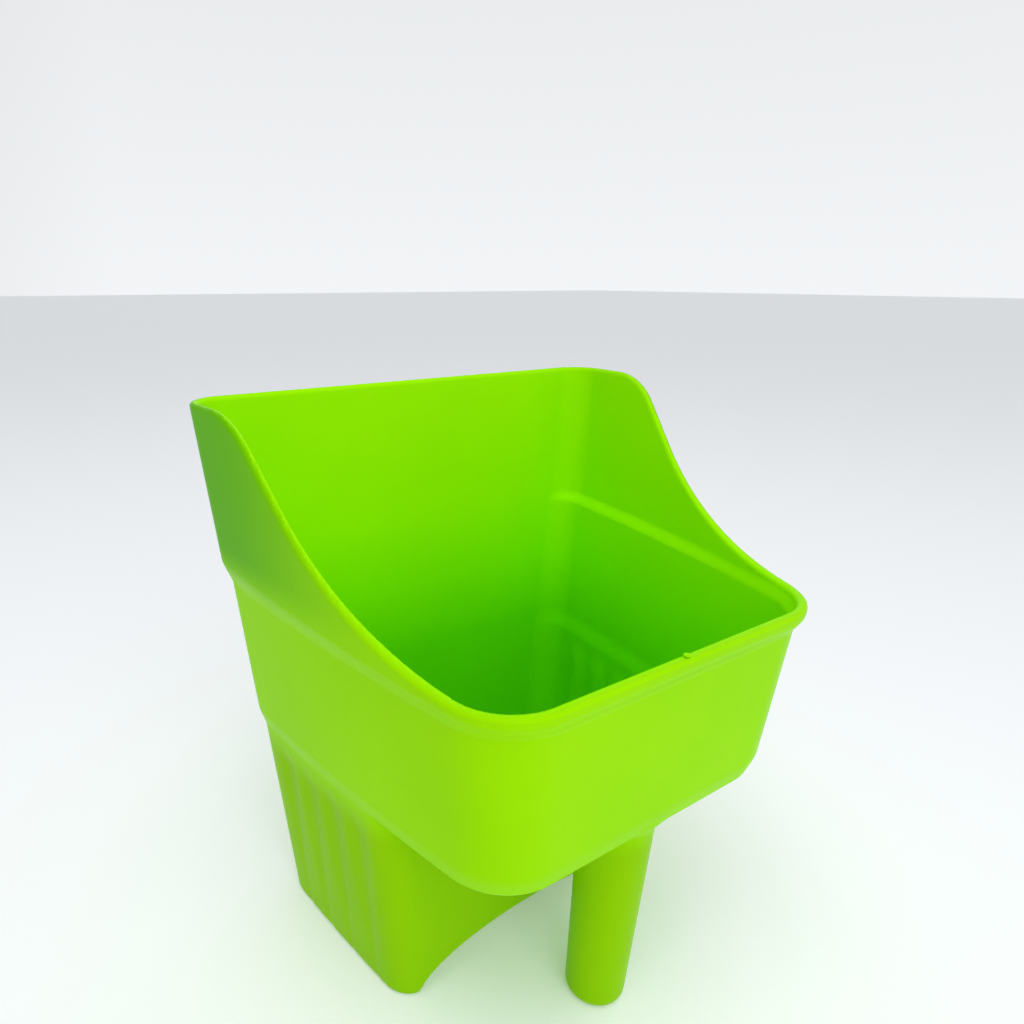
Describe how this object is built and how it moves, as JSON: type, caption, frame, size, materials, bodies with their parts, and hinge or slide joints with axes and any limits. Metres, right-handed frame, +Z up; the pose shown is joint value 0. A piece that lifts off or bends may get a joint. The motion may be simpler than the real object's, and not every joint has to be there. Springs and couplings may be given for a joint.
{
  "type": "feed scoop",
  "caption": "Enclosed moulded feed scoop with a tall back, S-curved sides, a fluted hollow heel and a hanging tube grip.",
  "frame": {"origin": "centre of the bounding box on the plane the scoop stands on", "axes": "+Z up, +Y towards the tall back wall, -Y towards the low front lip and the grip, +X across the width"},
  "size_m": [0.1916, 0.1505, 0.2054],
  "materials": {
    "moulding": "satin lime green polypropylene"
  },
  "bodies": {
    "root": {"bin_back_left_corner": "moulding", "bin_back_panel": "moulding", "bin_back_right_corner": "moulding", "bin_floor": "moulding", "bin_front_left_corner": "moulding", "bin_front_right_corner": "moulding", "bin_front_wall": "moulding", "bin_left_wall": "moulding", "bin_right_wall": "moulding", "blade_left_corner": "moulding", "blade_panel": "moulding", "blade_right_corner": "moulding", "gate_mark": "moulding", "grip_root": "moulding", "grip_tip": "moulding", "grip_tube": "moulding", "heel_back_left_corner": "moulding", "heel_back_panel": "moulding", "heel_back_right_corner": "moulding", "heel_bottom": "moulding", "heel_front_wall": "moulding", "heel_left_foot": "moulding", "heel_left_wall": "moulding", "heel_right_foot": "moulding", "heel_right_wall": "moulding", "left_cheek": "moulding", "right_cheek": "moulding", "rim_bead": "moulding", "rim_left_corner": "moulding", "rim_right_corner": "moulding"}
  },
  "joints": []
}
